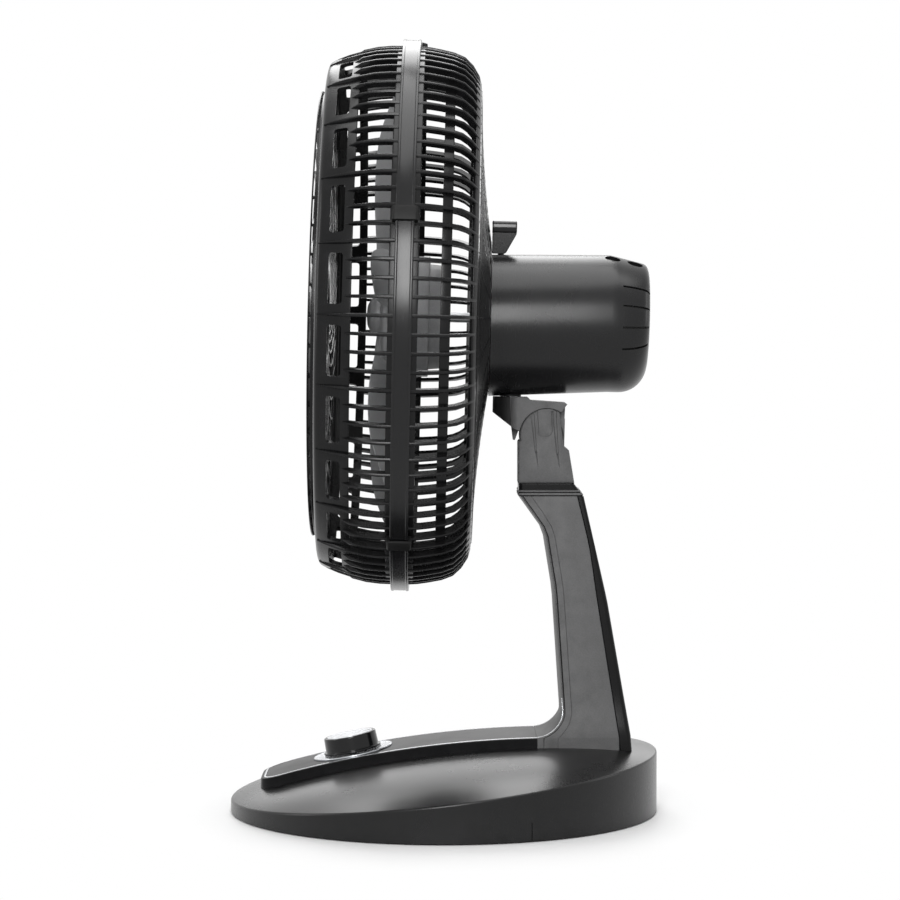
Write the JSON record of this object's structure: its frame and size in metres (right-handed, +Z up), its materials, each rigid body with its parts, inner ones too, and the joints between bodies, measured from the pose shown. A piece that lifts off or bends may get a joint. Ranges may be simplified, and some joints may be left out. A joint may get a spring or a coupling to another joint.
{
  "type": "air circulator fan",
  "caption": "Desk air circulator fan: dished round base with speed knob, leaning column, tilting and oscillating motor head, deep ribbed cage.",
  "frame": {"origin": "centre of the round base, on the floor it stands on", "axes": "+Z up, -Y the way the fan blows, +X to the right seen from the front"},
  "size_m": [0.4388, 0.3416, 0.6154],
  "materials": {
    "cage_black": "satin gloss moulded plastic",
    "band_black": "glossy moulded plastic",
    "housing_black": "satin moulded plastic",
    "blade_grey": "satin dark grey moulded plastic",
    "cap_black": "satin plastic, bare of any mark",
    "neck_grey": "matt dark grey moulded plastic",
    "cover_black": "matt black moulded plastic",
    "base_black": "satin moulded plastic",
    "plate_black": "matt plastic",
    "strip_black": "gloss plastic",
    "trim_chrome": "polished",
    "dial_black": "high gloss",
    "foot_rubber": "matt rubber",
    "steel": "plain steel",
    "cast_alloy": "die cast",
    "laminations": "stacked steel sheet",
    "copper": "enamelled copper wire",
    "brass": "cut brass",
    "nylon": "natural nylon",
    "inner_plastic": "moulded casing"
  },
  "bodies": {
    "base": {"base_shell": "base_black", "base_bottom_plate": "plate_black", "rubber_feet": "foot_rubber", "base_screws": "steel", "control_strip": "strip_black", "strip_trim": "trim_chrome", "knob_bezel": "trim_chrome", "speed_switch": "inner_plastic", "run_capacitor": "inner_plastic", "cord_gland": "foot_rubber", "column_shell": "neck_grey", "column_rear_cover": "cover_black", "neck_collar": "neck_grey", "neck_head": "neck_grey", "tilt_bolt": "steel", "tilt_nut": "steel", "tilt_washers": "inner_plastic"},
    "speed_knob": {"speed_knob": "dial_black", "knob_cap": "trim_chrome", "switch_shaft": "steel"},
    "tilt": {"tilt_bracket": "neck_grey", "swivel_stud": "steel"},
    "head": {"swivel_sleeve": "inner_plastic", "motor_housing": "housing_black", "housing_front_plate": "cast_alloy", "plate_screws": "steel", "cage_nut": "inner_plastic", "bearing_front": "steel", "bearing_rear": "steel", "rear_bracket": "cast_alloy", "motor_bolts": "steel", "stator_core": "laminations", "stator_windings": "copper", "gearbox_case": "cast_alloy", "rear_cage": "cage_black", "rear_grille": "cage_black", "front_cage": "cage_black", "front_grille": "cage_black", "front_cap": "cap_black", "cage_band": "band_black", "band_clips": "band_black"},
    "rotor": {"rotor_core": "laminations", "motor_shaft": "steel", "worm": "brass", "propeller": "blade_grey", "blade_nut": "blade_grey"},
    "worm_wheel": {"worm_wheel": "nylon"},
    "clutch": {"clutch_spindle": "nylon"},
    "crank": {"crank_gear": "nylon"},
    "link": {"link_arm": "steel"},
    "oscillation_knob": {"oscillation_knob": "housing_black", "shift_fork": "nylon"}
  },
  "joints": [
    {"name": "speed_knob_turn", "type": "hinge", "parent": "base", "child": "speed_knob", "pos_m": [0, -0.073, 0.04697], "axis": [0, -0.1977, 0.9803], "range_deg": [-135, 0]},
    {"name": "head_tilt", "type": "hinge", "parent": "base", "child": "tilt", "pos_m": [0, 0.082, 0.301], "axis": [1, 0, 0], "range_deg": [-18, 10]},
    {"name": "oscillation", "type": "hinge", "parent": "tilt", "child": "head", "pos_m": [0, 0.05325, 0.33191], "axis": [0, 0.0244, 0.9997], "range_deg": [-40, 40]},
    {"name": "rotor_spin", "type": "hinge", "parent": "head", "child": "rotor", "pos_m": [0, -0.02961, 0.39596], "axis": [0, 0.9997, -0.0244], "continuous": true},
    {"name": "worm_wheel_spin", "type": "hinge", "parent": "head", "child": "worm_wheel", "pos_m": [-0.016, 0.05963, 0.36377], "axis": [0, 0.0244, 0.9997], "continuous": true},
    {"name": "clutch_turn", "type": "hinge", "parent": "head", "child": "clutch", "pos_m": [-0.016, 0.05963, 0.36377], "axis": [0, 0.0244, 0.9997], "range_deg": [-250, 250]},
    {"name": "crank_turn", "type": "hinge", "parent": "head", "child": "crank", "pos_m": [-0.00425, 0.07412, 0.36341], "axis": [0, 0.0244, 0.9997], "range_deg": [-80.5, 80.5]},
    {"name": "link_turn", "type": "hinge", "parent": "crank", "child": "link", "pos_m": [-0.01225, 0.074, 0.35841], "axis": [0, 0.0244, 0.9997], "range_deg": [-80.5, 80.5]},
    {"name": "oscillation_knob_pull", "type": "slide", "parent": "head", "child": "oscillation_knob", "axis": [0, 0.0244, 0.9997], "range_m": [0, 0.006]}
  ],
  "couplings": [
    {"joint": "worm_wheel_spin", "follows": "rotor_spin", "ratio": 0.041667},
    {"joint": "clutch_turn", "follows": "oscillation", "ratio": 6.2222},
    {"joint": "crank_turn", "follows": "oscillation", "ratio": -2},
    {"joint": "link_turn", "follows": "oscillation", "ratio": 2}
  ]
}
